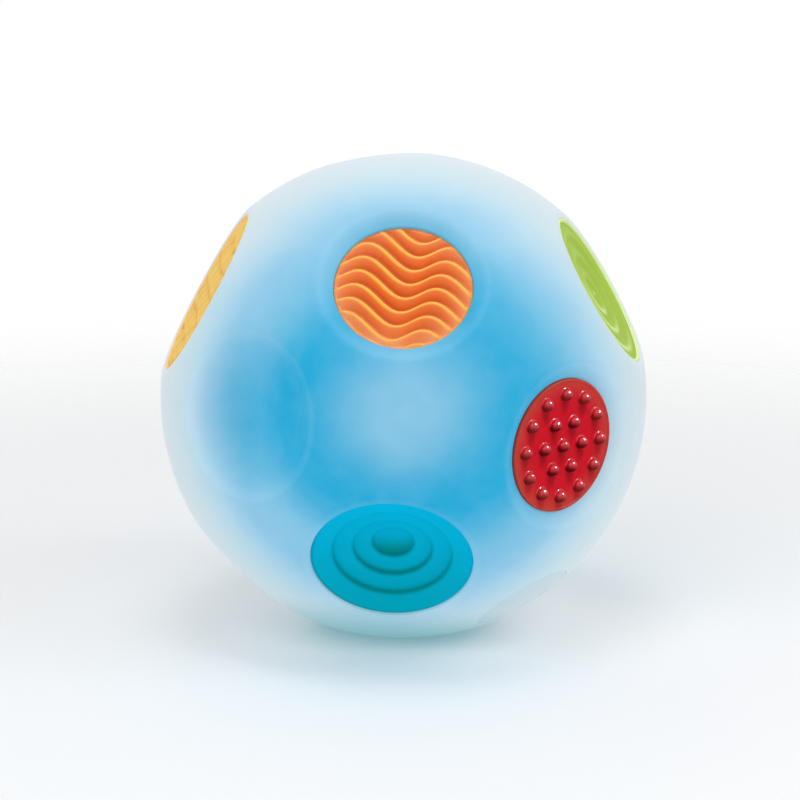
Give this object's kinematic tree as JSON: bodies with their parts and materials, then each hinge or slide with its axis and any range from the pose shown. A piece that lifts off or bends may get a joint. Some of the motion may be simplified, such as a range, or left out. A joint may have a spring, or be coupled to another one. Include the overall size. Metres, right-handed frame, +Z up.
{
  "type": "sensory ball",
  "caption": "Light-up sensory ball: a soft milky skin with dished seats, bare or filled with coloured touch discs, and a lamp module in its base.",
  "frame": {"origin": "centre of the flat ring that the ball stands on", "axes": "+Z up through the ball's centre, -Y out towards the viewer of the picture, under the wave disc; +X to the viewer's right"},
  "size_m": [0.13, 0.13, 0.1263],
  "materials": {
    "skin": "soft milky translucent, satin",
    "orange_rubber": "satin",
    "red_rubber": "gloss nubs on a satin disc",
    "cyan_rubber": "matte",
    "yellow_rubber": "satin",
    "green_rubber": "gloss",
    "cap": "milky, a little darker than the skin",
    "housing": "fine texture",
    "door": "fine texture",
    "contact": "nickel plate",
    "screw": "zinc plate",
    "slider": "satin",
    "switch_can": "tin plate",
    "lead": "wire sleeve",
    "cell": "printed sleeve without words",
    "board": "solder mask",
    "lamp": "clear lens",
    "chip": "moulded",
    "motion_can": "plain",
    "dome": "milky"
  },
  "bodies": {
    "ball": {"ball_skin": "skin", "wave_insert": "orange_rubber", "nub_insert": "red_rubber", "step_insert": "cyan_rubber", "facet_insert": "yellow_rubber", "ring_insert": "green_rubber", "back_nub_insert": "red_rubber", "back_ring_insert": "green_rubber", "back_step_insert": "cyan_rubber", "round_cap": "cap", "base_cup": "housing", "top_contact": "contact", "board_screws": "screw", "switch_body": "switch_can", "switch_leads": "lead", "battery_cell_1": "cell", "battery_cell_2": "cell", "battery_cell_3": "cell", "circuit_board": "board", "led_front": "lamp", "led_back": "lamp", "control_chip": "chip", "motion_switch": "motion_can", "light_dome": "dome"},
    "door": {"battery_door": "door", "door_contact": "contact"},
    "front_screw": {"door_screw_front": "screw"},
    "back_screw": {"door_screw_back": "screw"},
    "slider": {"switch_slider": "slider"}
  },
  "joints": [
    {"name": "door_lift", "type": "slide", "parent": "ball", "child": "door", "axis": [0, 0, -1], "range_m": [0, 0.03]},
    {"name": "front_screw_turn", "type": "hinge", "parent": "door", "child": "front_screw", "pos_m": [0, -0.0154, 0], "axis": [0, 0, 1], "continuous": true},
    {"name": "back_screw_turn", "type": "hinge", "parent": "door", "child": "back_screw", "pos_m": [0, 0.0154, 0], "axis": [0, 0, 1], "continuous": true},
    {"name": "switch_slide", "type": "slide", "parent": "ball", "child": "slider", "axis": [0, -1, 0], "range_m": [0, 0.0024]}
  ]
}
